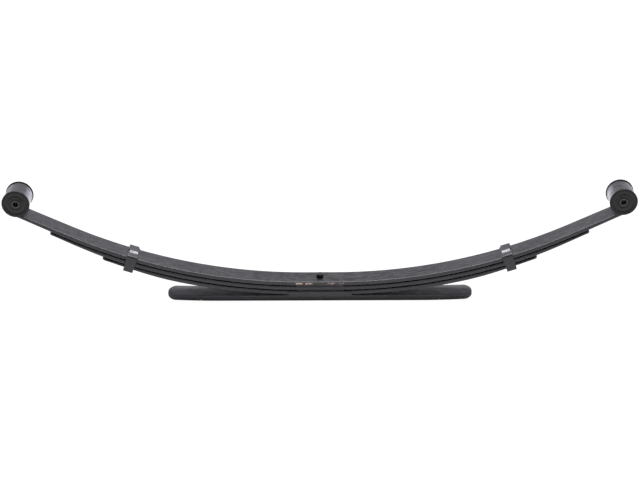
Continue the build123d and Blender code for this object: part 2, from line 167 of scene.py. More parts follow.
def bar(line, stations, width, thickness, edge, across=(0, 1, 0), columns=(), start_trim=None,
        end_trim=None, round_start=0.0, round_end=0.0):
    """A bar's surface as a grid: point = line(s) + y across - depth up.

    Depth runs from the rounded edge's drop on top to thickness minus that drop below. Near an end, s is
    moved by that end's trim at y, and the last rings shrink by r (1 - cos a) while s gains r sin a.
    """
    y, drop, middle, on_edge = bar_section(width, edge, columns)
    a = np.linspace(0, pi / 2, END_STEPS + 1)[1:]
    first, last = stations[0], stations[-1]
    head = first + round_start * (1 - np.sin(a[::-1])) if round_start else np.empty(0)
    tail = last - round_end * (1 - np.sin(a)) if round_end else np.empty(0)
    inner = stations.copy()
    inner[0] += round_start
    inner[-1] -= round_end
    s = np.concatenate([head, inner, tail])
    shrink = np.concatenate([
        round_start * (1 - np.cos(a[::-1])) if round_start else np.empty(0),
        0 * inner,
        round_end * (1 - np.cos(a)) if round_end else np.empty(0),
    ])[:, None]
    moved = np.repeat(s[:, None], len(y), 1)
    for trim, end, way in ((start_trim, first, 1), (end_trim, last, -1)):
        if trim is not None:
            pull = trim(y)
            fade = np.clip(1 - np.abs(s - end) / (3 * pull.max()), 0, 1)
            moved = moved + way * fade[:, None] * pull
    point, up = line(moved)
    thick = thickness(moved) if callable(thickness) else np.full_like(moved, thickness)
    depth = drop + middle * thick / 2
    narrow = y * (1 - 2 * shrink / width)
    shrunk = 1 - 2 * shrink / thick
    top, bottom = depth * shrunk + shrink, (thick - depth) * shrunk + shrink
    sideways = narrow[..., None] * np.asarray(across, float)

    def ring(upper, lower):
        return np.concatenate([upper, lower[:, -2:0:-1]], 1)

    points = ring(point + sideways - top[..., None] * up, point + sideways - bottom[..., None] * up)
    place = ring(np.stack([moved, narrow, -top], -1), np.stack([moved, narrow, -bottom], -1))
    rim = np.maximum(on_edge, (shrink > 0) * 1.0)
    return grid_shape(points, place, ring(rim, rim), strips=len(y))


def grid_shape(points, place, rim, strips):
    """Rings of points joined into quads, closed at both ends by strips between matching points."""
    rings, around = points.shape[:2]
    i, j = np.meshgrid(np.arange(rings - 1), np.arange(around), indexing="ij")
    k = (j + 1) % around
    walls = np.stack([i * around + j, i * around + k, (i + 1) * around + k, (i + 1) * around + j], -1)
    upper = np.arange(strips)
    lower = (around - upper) % around
    lower[-1] = upper[-1]
    cap = np.stack([upper[:-1], lower[:-1], lower[1:], upper[1:]], -1)
    far = cap[:, ::-1] + (rings - 1) * around
    return {
        "points": points.reshape(-1, 3),
        "faces": np.concatenate([walls.reshape(-1, 4), cap, far]),
        "place": place.reshape(-1, 3),
        "rim": rim.reshape(-1),
    }


# %% [markdown]
# ## From arrays to a mesh
#
# A shape becomes a mesh in one call. It carries two helpers for the materials: `place`, a position in
# the piece's own space that stays with the steel when it bends, and `rim`, which is 1 on rounded edges
# where paint wears first and where painted edge highlights, and painted shade on the nylon strip, are
# laid. A closed surface whose signed volume is negative is inside out, so its faces are turned round
# before the mesh is made.

# %% Arrays into an object
PLACE_SHIFT = 0.731
made = []


def signed_volume(points, faces):
    """Sum of the tetrahedra from the origin to each triangle: positive when faces look outwards."""
    a, b, c, d = (points[faces[:, n]] for n in range(4))
    return float(((a * np.cross(b, c)).sum() + (a * np.cross(c, d)).sum()) / 6)


def make_piece(name, shapes, sharp_angle=40.0):
    """One object from one or more closed shapes, smooth except where faces meet at a sharp angle.

    Its name ends in _made, because the plain names belong to the CAD nodes.
    """
    name = f"{name}_made"
    points, faces, place, rim, start = [], [], [], [], 0
    for shape in shapes:
        turned_round = signed_volume(shape["points"], shape["faces"]) < 0
        faces.append((shape["faces"][:, ::-1] if turned_round else shape["faces"]) + start)
        points.append(shape["points"])
        place.append(shape["place"])
        rim.append(shape["rim"])
        start += len(shape["points"])
    corners = [tuple(dict.fromkeys(face)) for face in np.concatenate(faces).tolist()]
    mesh = bpy.data.meshes.new(name)
    mesh.from_pydata(np.concatenate(points).tolist(), [], [face for face in corners if len(face) > 2])
    moved_place = np.concatenate(place) + PLACE_SHIFT * len(made)
    mesh.attributes.new("place", "FLOAT_VECTOR", "POINT").data.foreach_set("vector", moved_place.ravel())
    mesh.attributes.new("rim", "FLOAT", "POINT").data.foreach_set("value", np.concatenate(rim))
    mesh.shade_smooth()
    mesh.set_sharp_from_angle(angle=radians(sharp_angle))
    piece = bpy.data.objects.new(name, mesh)
    bpy.context.scene.collection.objects.link(piece)
    made.append(piece)
    print(f"{name}: {len(mesh.vertices)} points, {len(mesh.polygons)} faces")
    return piece


def stand_for(piece, node, body):
    """The piece is shown in place of a CAD node and moves with a body."""
    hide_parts(node)
    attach(piece, body)


def spread(start, *spans):
    """Stations along a line: each span is (end, number of steps)."""
    stations = [np.array([start])]
    for end, steps in spans:
        stations.append(np.linspace(stations[-1][-1], end, steps + 1)[1:])
    return np.concatenate(stations)


def corner_trim(width, radius):
    """How far a tip with rounded plan corners is pulled back at y: r - sqrt(r^2 - (|y| - w/2 + r)^2)."""

    def trim(y):
        into = np.clip(np.abs(y) - width / 2 + radius, 0, radius)
        return radius - np.sqrt(np.maximum(radius**2 - into**2, 0))

    return trim


def corner_columns(width, radius):
    """Extra columns that follow a rounded plan corner."""
    y = width / 2 - radius + radius * np.sin(np.linspace(0, pi / 2, 9))
    return np.concatenate([y, -y])


# %% [markdown]
# ## The main leaf
#
# One bar makes the long spring and both eyes: past the foot it thins a little, from forging, and rolls
# upwards almost full circle. It bends in use, so it is made as two halves that meet at the centre
# bolt.

# %% Main leaf halves
BOLT_HOLE = 6.3 * MM
LEAF_EDGE = 2.6 * MM


def bolt_notch(y):
    """Half of the bolt's hole: the bar starts sqrt(r^2 - y^2) past the centre line."""
    return np.sqrt(np.maximum(BOLT_HOLE**2 - y**2, 0))


NOTCH_COLUMNS = BOLT_HOLE * np.sin(np.linspace(-pi / 2, pi / 2, 11))


def smooth_step(x):
    """0 to 1 as x goes from 0 to 1, easing in and out: 3x^2 - 2x^3."""
    x = np.clip(x, 0, 1)
    return x * x * (3 - 2 * x)


def main_thickness(s):
    """Full thickness on the arch, thinned along the run to the eye's wall."""
    return LEAF_THICKNESS - (LEAF_THICKNESS - EYE_WALL) * smooth_step((s - ARCH_END) / EYE_RUN)


def bend_with_arm(piece):
    """Bakes the half's placement into its mesh; the half is not attached to any body."""
    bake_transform(piece)


EYE_END = EYE_FOOT + EYE_BORE * EYE_WRAP
leaves = []
for end, side in SIDES.items():
    stations = spread(0.0, (3 * BOLT_HOLE, 8), (SEAT_HALF, 4), (ARCH_END, 62), (EYE_FOOT, 18), (EYE_END, 50))
    shape = bar(leaf_line(side, 0), stations, BAR_WIDTH, main_thickness, LEAF_EDGE,
                columns=NOTCH_COLUMNS, start_trim=bolt_notch, round_end=1.0 * MM)
    half = make_piece(f"main_leaf_{end}_half", [shape])
    # Share of a painted highlight on the eye: faint over the whole roll, full past about 190 degrees of wrap, on the
    # upper side that faces the spring's centre.
    turn_in_eye = (shape["place"][:, 0] - EYE_FOOT) / EYE_BORE
    rolled = 0.02 * smooth_step(turn_in_eye) + 0.98 * smooth_step((turn_in_eye - radians(190)) / radians(50))
    half.data.attributes.new("rolled", "FLOAT", "POINT").data.foreach_set("value", rolled)
    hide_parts("main_leaf")
    bend_with_arm(half)
    leaves.append(half)

# %% [markdown]
# ## The second and third leaves
#
# These are plain bars that follow the arch one and two steps deeper. Their tips are thinned from below
# and their corners cut round, so that they slide along the leaf above without digging in.

# %% Second and third leaves
TIP_TAPER = 200 * MM
TIP_CORNER = 9 * MM
plain_leaves = {
    "second": {"depth": LEAF_PITCH, "tip": ARCH_END + 45 * MM, "tip_thickness": 5.5 * MM},
    "third": {
        "depth": 2 * LEAF_PITCH,
        "tip": SEAT_HALF + ARCH_RADIUS * radians(21.1),
        "tip_thickness": 5 * MM,
    },
}


def plain_leaf_half(name, end):
    """One half of a leaf whose thickness eases down to the tip over the taper's length."""
    leaf = plain_leaves[name]
    tip, thin = leaf["tip"], leaf["tip_thickness"]

    def thickness(s):
        return LEAF_THICKNESS - (LEAF_THICKNESS - thin) * smooth_step(1 - (tip - s) / TIP_TAPER)

    stations = spread(0.0, (3 * BOLT_HOLE, 8), (SEAT_HALF, 4), (tip - 3 * TIP_CORNER, 56), (tip, 16))
    shape = bar(leaf_line(SIDES[end], leaf["depth"]), stations, BAR_WIDTH, thickness, LEAF_EDGE,
                columns=np.concatenate([NOTCH_COLUMNS, corner_columns(BAR_WIDTH, TIP_CORNER)]),
                start_trim=bolt_notch, end_trim=corner_trim(BAR_WIDTH, TIP_CORNER), round_end=1.6 * MM)
    half = make_piece(f"{name}_leaf_{end}_half", [shape])
    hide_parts(f"{name}_leaf")
    bend_with_arm(half)
    return half


for name in plain_leaves:
    for end in SIDES:
        leaves.append(plain_leaf_half(name, end))

# %% [markdown]
# ## Turned pieces
#
# Bushes, sleeves, rivets and the bolt are round. A profile of (radius, height) points is carried round
# an axis. `soften` first replaces each corner of the profile with a small curve, because no moulded or
# turned edge is truly sharp, and those curves are what catch the light.

# %% Profiles and turning
TURN_STEPS = 80


def soften(corners, radii, steps=4):
    """A closed outline with each corner p replaced by the curve (1-t)^2 a + 2t(1-t) p + t^2 b.

    a and b lie on the two sides that meet in p, its radius away from it.
    """
    p = np.asarray(corners, float)
    back, on = np.roll(p, 1, 0) - p, np.roll(p, -1, 0) - p
    back_length, on_length = np.linalg.norm(back, axis=1), np.linalg.norm(on, axis=1)
    reach = np.minimum(np.broadcast_to(radii, len(p)), 0.49 * np.minimum(back_length, on_length))
    a = p + back * (reach / back_length)[:, None]
    b = p + on * (reach / on_length)[:, None]
    t = np.linspace(0, 1, steps + 1)[None, :, None]
    curve = (1 - t) ** 2 * a[:, None] + 2 * t * (1 - t) * p[:, None] + t**2 * b[:, None]
    rim = np.repeat(np.sin(pi * t[:, :, 0]), len(p), 0)
    return curve.reshape(-1, 2), rim.reshape(-1)


def turned(profile, rim, centre, axis, steps=TURN_STEPS):
    """A closed profile carried round an axis: point = centre + height axis + radius (cos a u + sin a v)."""
    axis = np.asarray(axis, float) / np.linalg.norm(axis)
    u = np.cross(axis, (0.0, 0.0, 1.0) if abs(axis[2]) < 0.9 else (1.0, 0.0, 0.0))
    u = u / np.linalg.norm(u)
    v = np.cross(axis, u)
    a = np.linspace(0, 2 * pi, steps, endpoint=False)[:, None, None]
    radius, height = profile[None, :, :1], profile[None, :, 1:]
    points = np.asarray(centre, float) + height * axis + radius * (np.cos(a) * u + np.sin(a) * v)
    count = len(profile)
    i, j = np.meshgrid(np.arange(steps), np.arange(count), indexing="ij")
    faces = np.stack([i * count + j, ((i + 1) % steps) * count + j,
                      ((i + 1) % steps) * count + (j + 1) % count, i * count + (j + 1) % count], -1)
    return {
        "points": points.reshape(-1, 3),
        "faces": faces.reshape(-1, 4),
        "place": points.reshape(-1, 3),
        "rim": np.tile(rim, steps),
    }


# %% [markdown]
# ## Bushes and sleeves
#
# Each eye takes two rubber halves, pushed in from the sides, whose flanges cover the leaf's edges. The
# face of a moulded flange is not flat: it has a raised rim, a sunken ring and a boss round the sleeve.
# The steel sleeve runs through both halves, and the mounting bolt clamps its ends.

# %% Bush halves and inner sleeves
FLANGE_INNER = BAR_WIDTH / 2 + FIT_GAP
FLANGE_OUTER = FLANGE_INNER + 2.4 * MM
FLANGE_RADIUS = 36.6 * MM
SLEEVE_RADIUS = 10.5 * MM
SLEEVE_BORE = mounts["rear_eye_bore"]["dims"]["r_mm"] * MM
SLEEVE_HALF = mounts["rear_eye_bore"]["dims"]["length_mm"] * MM / 2


def bush_half(name, eye_side, y_side):
    """A rubber half: barrel in the eye, flange over its edge, rings moulded in the face."""
    bore = SLEEVE_RADIUS + 0.05 * MM
    barrel = EYE_BORE - FIT_GAP
    face, ring, boss = FLANGE_OUTER, FLANGE_OUTER - 1.2 * MM, FLANGE_OUTER - 0.3 * MM
    corners = [(bore, 0.5 * MM), (barrel, 0.5 * MM), (barrel, FLANGE_INNER), (FLANGE_RADIUS, FLANGE_INNER),
               (FLANGE_RADIUS, face), (29 * MM, face), (27.4 * MM, ring), (21.5 * MM, ring),
               (20 * MM, boss), (16.5 * MM, boss), (15.5 * MM, ring), (12.8 * MM, ring),
               (12.2 * MM, boss), (bore, boss)]
    radii = np.array([0.6, 0.6, 0.2, 0.6, 1.0, 0.8, 0.8, 0.8, 0.8, 0.6, 0.6, 0.5, 0.5, 0.5]) * MM
    profile, rim = soften(corners, radii)
    return make_piece(name, [turned(profile, rim, (eye_side * EYE_X, 0, EYE_Z), (0, y_side, 0))], 60)


def inner_sleeve(name, eye_side):
    """A steel tube with broken edges."""
    corners = [(SLEEVE_BORE, -SLEEVE_HALF), (SLEEVE_RADIUS, -SLEEVE_HALF),
               (SLEEVE_RADIUS, SLEEVE_HALF), (SLEEVE_BORE, SLEEVE_HALF)]
    profile, rim = soften(corners, 0.7 * MM)
    return make_piece(name, [turned(profile, rim, (eye_side * EYE_X, 0, EYE_Z), (0, 1, 0))], 60)


bushes, sleeves = [], []
for end, side in SIDES.items():
    for hand, y_side in (("left", -1), ("right", 1)):
        bush = bush_half(f"{end}_bush_{hand}", side, y_side)
        stand_for(bush, f"{end}_bush_{hand}", f"{end}_arm")
        bushes.append(bush)
    sleeve = inner_sleeve(f"{end}_inner_sleeve", side)
    stand_for(sleeve, f"{end}_inner_sleeve", f"{end}_sleeve")
    sleeves.append(sleeve)

# %% [markdown]
# ## The overload leaf
#
# The lowest leaf is thicker and flat. It carries load only when the arch above has closed onto it. Its
# tips turn up slightly and are cut to large round corners. The bolt's hole and the recess for the nut
# are cut with one turned cutter and a Boolean modifier, applied at once.

# %% Overload leaf
OVERLOAD_HALF = 408 * MM
OVERLOAD_THICKNESS = 17 * MM
OVERLOAD_FLAT = 265 * MM
OVERLOAD_CORNER = 28 * MM
OVERLOAD_EDGE = 4.2 * MM
NUT_RECESS = (12.5 * MM, 8.2 * MM)


def overload_bend(x):
    """0 on the flat middle, rising as a square to 1 at the tips."""
    return np.clip((np.abs(x) - OVERLOAD_FLAT) / (OVERLOAD_HALF - OVERLOAD_FLAT), 0, 1) ** 2


def overload_line(x):
    """The top face rises 2 mm at the tips."""
    level = np.zeros_like(x)
    z = OVERLOAD_THICKNESS + 2 * MM * overload_bend(x)
    return np.stack([x, level, z], -1), np.stack([level, level, level + 1], -1)


def cut(piece, cutter):
    """Takes the cutter's volume out of the piece and removes the cutter."""
    boolean = piece.modifiers.new("cut", "BOOLEAN")
    boolean.object, boolean.operation, boolean.solver = cutter, "DIFFERENCE", "EXACT"
    depsgraph = bpy.context.evaluated_depsgraph_get()
    cut_mesh = bpy.data.meshes.new_from_object(piece.evaluated_get(depsgraph))
    piece.modifiers.clear()
    old, piece.data = piece.data, cut_mesh
    bpy.data.meshes.remove(old)
    made.remove(cutter)
    bpy.data.objects.remove(cutter)
    piece.data.name = piece.name
    piece.data.set_sharp_from_angle(angle=radians(40))


stations = spread(-OVERLOAD_HALF, (3 * OVERLOAD_CORNER - OVERLOAD_HALF, 20), (OVERLOAD_HALF - 3 * OVERLOAD_CORNER, 60),
                  (OVERLOAD_HALF, 20))
tip_trim = corner_trim(BAR_WIDTH, OVERLOAD_CORNER)
overload = make_piece("overload_leaf", [bar(
    overload_line, stations, BAR_WIDTH, lambda x: OVERLOAD_THICKNESS - 2.5 * MM * overload_bend(x),
    OVERLOAD_EDGE, columns=corner_columns(BAR_WIDTH, OVERLOAD_CORNER), start_trim=tip_trim, end_trim=tip_trim,
    round_start=OVERLOAD_EDGE, round_end=OVERLOAD_EDGE)])
cutter_outline = np.array([(0.2 * MM, -5 * MM), (NUT_RECESS[0], -5 * MM), (NUT_RECESS[0], NUT_RECESS[1]),
                           (BOLT_HOLE, NUT_RECESS[1]), (BOLT_HOLE, 30 * MM), (0.2 * MM, 30 * MM)])
cutter = make_piece("recess_cutter", [turned(cutter_outline, np.zeros(6), (0, 0, 0), (0, 0, 1))])
cut(overload, cutter)
stand_for(overload, "overload_leaf", "leaf_pack")

# %% [markdown]
# ## Saddle and liners at the centre
#
# A thin saddle with a lip down each side sits on the overload leaf and keeps the third leaf in line.
# Between the arched leaves, plain plates fill the gaps that let them bend without rubbing.

# %% Saddle and centre liners
SADDLE_HALF = 85 * MM
SADDLE_WEB = 1.5 * MM
LIP_BOTTOM, LIP_TOP = 14.5 * MM, 29 * MM
LIP_THICKNESS = 2.8 * MM
LIP_CORNER = 6 * MM
LINER_HALF = 63 * MM


def level_line(z):
    """A straight line along X at a height, with Z up."""

    def line(x):
        level = np.zeros_like(x)
        return np.stack([x, level, level + z], -1), np.stack([level, level, level + 1], -1)

    return line


def lip_line(y_side):
    """A straight line along X on a lip's outer face, with up pointing out of that face."""
    y = y_side * (FLANGE_INNER + LIP_THICKNESS)

    def line(x):
        level = np.zeros_like(x)
        middle = level + (LIP_BOTTOM + LIP_TOP) / 2
        return np.stack([x, level + y, middle], -1), np.stack([level, level + y_side, level], -1)

    return line


lip_height = LIP_TOP - LIP_BOTTOM
lip_trim = corner_trim(lip_height, LIP_CORNER)
saddle_shapes = [bar(level_line(OVERLOAD_THICKNESS + SADDLE_WEB), spread(-79 * MM, (79 * MM, 24)),
                     2 * FLANGE_INNER, SADDLE_WEB, 0.3 * MM)]
for y_side in (-1, 1):
    stations = spread(-SADDLE_HALF, (3 * LIP_CORNER - SADDLE_HALF, 10), (SADDLE_HALF - 3 * LIP_CORNER, 16),
                      (SADDLE_HALF, 10))
    saddle_shapes.append(bar(lip_line(y_side), stations, lip_height, LIP_THICKNESS, 0.7 * MM, across=(0, 0, 1),
                             columns=corner_columns(lip_height, LIP_CORNER), start_trim=lip_trim,
                             end_trim=lip_trim, round_start=0.6 * MM, round_end=0.6 * MM))
saddle = make_piece("pack_saddle", saddle_shapes)
stand_for(saddle, "pack_saddle", "leaf_pack")

centre_liners = []
for name, depth in (("upper", LEAF_THICKNESS), ("lower", LEAF_THICKNESS + LEAF_PITCH)):

    def liner_line(s, depth=depth):
        point, up = arch_line(s)
        return point - depth * up, up

    shape = bar(liner_line, spread(-LINER_HALF, (LINER_HALF, 40)), 61 * MM, LEAF_GAP, 0.4 * MM)
    liner = make_piece(f"{name}_centre_liner", [shape])
    stand_for(liner, f"{name}_centre_liner", "leaf_pack")
    centre_liners.append(liner)

# %% [markdown]
# ## Centre bolt and nut
#
# The bolt's tall round head stands above the main leaf and drops into a hole in the axle's seat, which
# is what locates the axle. Its nut is a plain hexagon with its corners turned off: a cone meets the
# flats, so the edge of each flat is the curved line every nut has.

# %% Centre bolt and nut
BOLT_RADIUS = 6 * MM
BOLT_HEAD = 9.2 * MM
NUT_ACROSS = 19 * MM
NUT_BOTTOM, NUT_TOP = 1.2 * MM, 8.2 * MM


def centre_bolt():
    """A shank, a tall round head with a soft upper edge, and a shallow forged dimple on top."""
    top, axis_gap = SEAT_Z + 11 * MM, 0.02 * MM
    corners = [(axis_gap, 0.6 * MM), (BOLT_RADIUS, 0.6 * MM), (BOLT_RADIUS, SEAT_Z + 0.05 * MM),
               (BOLT_HEAD, SEAT_Z + 0.05 * MM), (BOLT_HEAD, top), (3.2 * MM, top), (2.2 * MM, top - 0.8 * MM),
               (axis_gap, top - 0.8 * MM)]
    profile, rim = soften(corners, np.array([0, 1.0, 0, 0.2, 1.6, 0.4, 0.4, 0]) * MM)
    return turned(profile, rim, (0, 0, 0), (0, 0, 1), steps=48)


def centre_nut():
    """Rings of points round the bore and the hexagon, whose edge height follows the turned cone.

    The hexagon's radius is (across / 2) / cos(angle from the flat's middle), and the cone lowers each
    edge by tan 30 of what that radius has beyond the flats.
    """
    a = np.linspace(0, 2 * pi, 72, endpoint=False)
    from_flat = (a + pi / 6) % (pi / 3) - pi / 6
    hexagon = NUT_ACROSS / 2 / np.cos(from_flat)
    fall = (hexagon - NUT_ACROSS / 2 * 0.98) * 0.577
    bore = np.full_like(a, BOLT_RADIUS + 0.05 * MM)
    flat = np.full_like(a, NUT_ACROSS / 2 * 0.98)
    low, high = np.full_like(a, NUT_BOTTOM), np.full_like(a, NUT_TOP)
    radius = np.stack([bore, bore + 0.6 * MM, flat, hexagon, hexagon, flat, bore + 0.6 * MM, bore], 1)
    height = np.stack([low + 0.5 * MM, low, low, low + fall, high - fall, high, high, high - 0.5 * MM], 1)
    points = np.stack([radius * np.cos(a)[:, None], radius * np.sin(a)[:, None], height], -1)
    rings, count = radius.shape
    i, j = np.meshgrid(np.arange(rings), np.arange(count), indexing="ij")
    faces = np.stack([i * count + j, ((i + 1) % rings) * count + j,
                      ((i + 1) % rings) * count + (j + 1) % count, i * count + (j + 1) % count], -1)
    flat_points = points.reshape(-1, 3)
    return {"points": flat_points, "faces": faces.reshape(-1, 4), "place": flat_points,
            "rim": np.tile([0, 1, 0, 1, 1, 0, 1, 0], rings).astype(float)}


bolt = make_piece("centre_bolt", [centre_bolt()], 50)
nut = make_piece("centre_nut", [centre_nut()], 25)
stand_for(bolt, "centre_bolt", "leaf_pack")
stand_for(nut, "centre_nut", "leaf_pack")

# %% [markdown]
# ## Rebound clips
#
# A clip is a strap riveted under the third leaf, bent up both sides and folded over the main leaf, so
# the pack cannot fan apart. Its two tabs do not meet, and the pale nylon liner that stops the clip from
# rattling shows between them. The strap is the same bar surface, carried round a line with bends.

# %% Clips, liners and rivets
CLIP_AT = SEAT_HALF + ARCH_RADIUS * np.arcsin(455 / 1452)
CLIP_LENGTH = 26 * MM
CLIP_THICKNESS = 4 * MM
CLIP_HALF = FLANGE_INNER + 1.5 * MM + CLIP_THICKNESS
CLIP_TOP = 6.3 * MM
CLIP_BOTTOM = -PACK_DEPTH - FIT_GAP - CLIP_THICKNESS
CLIP_BEND = 5.5 * MM
CLIP_TABS = (-14 * MM, 4 * MM)


def bent_line(corners, bend, outward, origin, right, up):
    """Straight runs joined by arcs, as a function of distance that gives points and outward normals.

    On each arc the point is centre + bend * normal, and the normal turns evenly from one run to the
    next. outward is 1 when the outside is on the right of the way along, and -1 when on the left.
    """
    p = np.asarray(corners, float)
    ways = np.diff(p, axis=0)
    ways = ways / np.linalg.norm(ways, axis=1)[:, None]
    normals = outward * np.stack([ways[:, 1], -ways[:, 0]], 1)
    spots, faces_out = [p[0]], [normals[0]]
    for n in range(1, len(p) - 1):
        before, after = normals[n - 1], normals[n]
        t = np.linspace(0, pi / 2, 13)[:, None]
        turning = np.cos(t) * before + np.sin(t) * after
        centre = p[n] - bend * (before + after)
        spots.extend(centre + bend * turning)
        faces_out.extend(turning)
    spots, faces_out = np.array(spots + [p[-1]]), np.array(faces_out + [normals[-1]])
    along = np.concatenate([[0], np.cumsum(np.linalg.norm(np.diff(spots, axis=0), axis=1))])

    def line(s):
        a, b = (np.interp(s, along, spots[:, k]) for k in (0, 1))
        u, v = (np.interp(s, along, faces_out[:, k]) for k in (0, 1))
        point = origin + a[..., None] * right + b[..., None] * up
        return point, u[..., None] * right + v[..., None] * up

    return line, along[-1]


def clip_frame(side):
    """Origin on the main leaf's top line, the leaf's upward normal, and the direction along the leaf."""
    point, up = arch_line(np.array([side * CLIP_AT]))
    along = np.cross((0.0, 1.0, 0.0), up[0])
    return point[0], up[0], along


def clip_strap(side):
    """The strap's outer face goes from one tab's end, down, under and up again to the other tab's end."""
    origin, up, along = clip_frame(side)
    corners = [(CLIP_TABS[0], CLIP_TOP), (-CLIP_HALF, CLIP_TOP), (-CLIP_HALF, CLIP_BOTTOM),
               (CLIP_HALF, CLIP_BOTTOM), (CLIP_HALF, CLIP_TOP), (CLIP_TABS[1], CLIP_TOP)]
    line, length = bent_line(corners, CLIP_BEND, 1, origin, np.array([0.0, 1.0, 0.0]), up)
    return [bar(line, spread(0.0, (length, 150)), CLIP_LENGTH, CLIP_THICKNESS, 0.8 * MM, across=along,
               round_start=0.8 * MM, round_end=0.8 * MM)]


def clip_liner(side):
    """A U of nylon inside the strap, and the rib on it that fills the slot between the tabs."""
    origin, up, along = clip_frame(side)
    origin = origin - side * 1.4 * MM * along
    half, top, low = FLANGE_INNER + 1.5 * MM, 2.3 * MM, -17.7 * MM
    line, length = bent_line([(-half, low), (-half, top), (half, top), (half, low)], 1.6 * MM, -1,
                             origin, np.array([0.0, 1.0, 0.0]), up)
    strip = bar(line, spread(0.0, (length, 80)), 30 * MM, 1.5 * MM, 0.4 * MM, across=along,
                round_start=0.4 * MM, round_end=0.4 * MM)
    rib_top = top + 3 * MM
    rib_line, rib_length = bent_line([(CLIP_TABS[0] + 0.5 * MM, rib_top), (CLIP_TABS[1] - 0.5 * MM, rib_top)], 0,
                                     -1, origin, np.array([0.0, 1.0, 0.0]), up)
    rib = bar(rib_line, spread(0.0, (rib_length, 12)), CLIP_LENGTH - 3 * MM, 3.4 * MM, 0.8 * MM, across=along,
              round_start=0.8 * MM, round_end=0.8 * MM)
    # Painted shade: rim 1 over the whole strip lets the nylon's edge mask darken all of it, while the rib, with rim 0,
    # stays mostly pale grey.
    strip["rim"] = np.ones_like(strip["rim"])
    rib["rim"] = np.zeros_like(rib["rim"])
    return [strip, rib]


def clip_rivet(side):
    """A rivet along the leaf's normal, its domed head under the strap."""
    origin, up, _ = clip_frame(side)
    axis_gap, shank, head = 0.02 * MM, 4 * MM, 7 * MM
    top = -2 * LEAF_PITCH + 2.0 * MM
    corners = [(axis_gap, CLIP_BOTTOM - 3 * MM), (4.6 * MM, CLIP_BOTTOM - 2.9 * MM), (head, CLIP_BOTTOM - 0.6 * MM),
               (head, CLIP_BOTTOM), (shank, CLIP_BOTTOM), (shank, top - 1.7 * MM), (head, top - 1.7 * MM),
               (head, top), (axis_gap, top)]
    profile, rim = soften(corners, np.array([0, 1.5, 0.8, 0.1, 0.1, 0.1, 0.3, 0.5, 0]) * MM)
    return [turned(profile, rim, origin, up, steps=48)]


clips, clip_liners, rivets = [], [], []
for end, side in SIDES.items():
    for maker, suffix, kept in ((clip_strap, "clip", clips), (clip_liner, "clip_liner", clip_liners),
                                (clip_rivet, "clip_rivet", rivets)):
        piece = make_piece(f"{end}_{suffix}", maker(side))
        stand_for(piece, f"{end}_{suffix}", f"{end}_arm")
        kept.append(piece)

# %% [markdown]
# ## Slip pads
#
# A pad in the gap at each tip keeps steel off steel. It follows the leaf it lies on, and a stud below
# drops through that leaf to hold it.

# %% Tip pads
PAD_LENGTH = 36 * MM
PAD_WIDTH = 50 * MM
PAD_BACK = 26 * MM
pads = []


def tip_pad(name, end):
    """A thin plate along the leaf's top face, with a round stud below its middle."""
    leaf = plain_leaves[name]
    middle = leaf["tip"] - PAD_BACK * ARCH_RADIUS / (ARCH_RADIUS + leaf["depth"])
    trim = corner_trim(PAD_WIDTH, 6 * MM)
    lifted = leaf_line(SIDES[end], leaf["depth"] - LEAF_GAP + FIT_GAP)
    stations = spread(middle - PAD_LENGTH / 2, (middle, 12), (middle + PAD_LENGTH / 2, 12))
    plate = bar(lifted, stations, PAD_WIDTH, LEAF_GAP - 2 * FIT_GAP, 0.5 * MM,
                columns=corner_columns(PAD_WIDTH, 6 * MM), start_trim=trim, end_trim=trim,
                round_start=0.4 * MM, round_end=0.4 * MM)
    origin, up = (value[0] for value in leaf_line(SIDES[end], leaf["depth"])(np.array([middle])))
    profile, rim = soften([(0.02 * MM, -7.7 * MM), (4 * MM, -7.7 * MM), (4 * MM, 1 * MM), (0.02 * MM, 1 * MM)],
                          np.array([0, 0.8, 0, 0]) * MM)
    return [plate, turned(profile, rim, origin, up, steps=32)]


for name in plain_leaves:
    for end in SIDES:
        pad = make_piece(f"{name}_leaf_{end}_pad", tip_pad(name, end))
        stand_for(pad, f"{name}_leaf_{end}_pad", f"{end}_arm")
        pads.append(pad)

# %% [markdown]
# ## Shared effects for the materials
#
# Paint, rubber and steel all need the same few effects, so each is a node group made once: patchy
# colour, spots where a noise is high, wear that starts from the edges (also laid as painted shade on the nylon strip),
# and fine relief for the bump.
# The groups hand out only colours, masks and heights. The shaders stay in the materials.

# %% Node group helpers


def new_group(name, takes, gives):
    """An empty shader node group with named sockets, and its nodes for the way in and the way out."""
    group = bpy.data.node_groups.new(name, "ShaderNodeTree")
    for label, kind, value in takes:
        socket = group.interface.new_socket(label, in_out="INPUT", socket_type=f"NodeSocket{kind}")
        if value is not None:
            socket.default_value = value
    for label, kind in gives:
        group.interface.new_socket(label, in_out="OUTPUT", socket_type=f"NodeSocket{kind}")
    return group, group.nodes.new("NodeGroupInput"), group.nodes.new("NodeGroupOutput")


def add_node(tree, kind, settings=None, **inputs):
    """A node with its settings, whose inputs are values or other nodes' sockets."""
    node = tree.nodes.new(kind)
    for key, value in (settings or {}).items():
        setattr(node, key, value)
    for key, value in inputs.items():
        numbered = key[0] == "i" and key[1:].isdigit()
        socket = node.inputs[int(key[1:]) if numbered else key.replace("_", " ")]
        if isinstance(value, bpy.types.NodeSocket):
            tree.links.new(value, socket)
        else:
            socket.default_value = value
    return node


def noise(tree, vector, scale, detail=4.0, roughness=0.55, distortion=0.0):
    """A noise value from 0 to 1."""
    return add_node(tree, "ShaderNodeTexNoise", Vector=vector, Scale=scale, Detail=detail, Roughness=roughness,
                    Distortion=distortion).outputs["Fac"]


def math(tree, operation, first, second=0.0, clamp=False):
    """One sum on one or two values."""
    settings = {"operation": operation, "use_clamp": clamp}
    return add_node(tree, "ShaderNodeMath", settings, i0=first, i1=second).outputs[0]


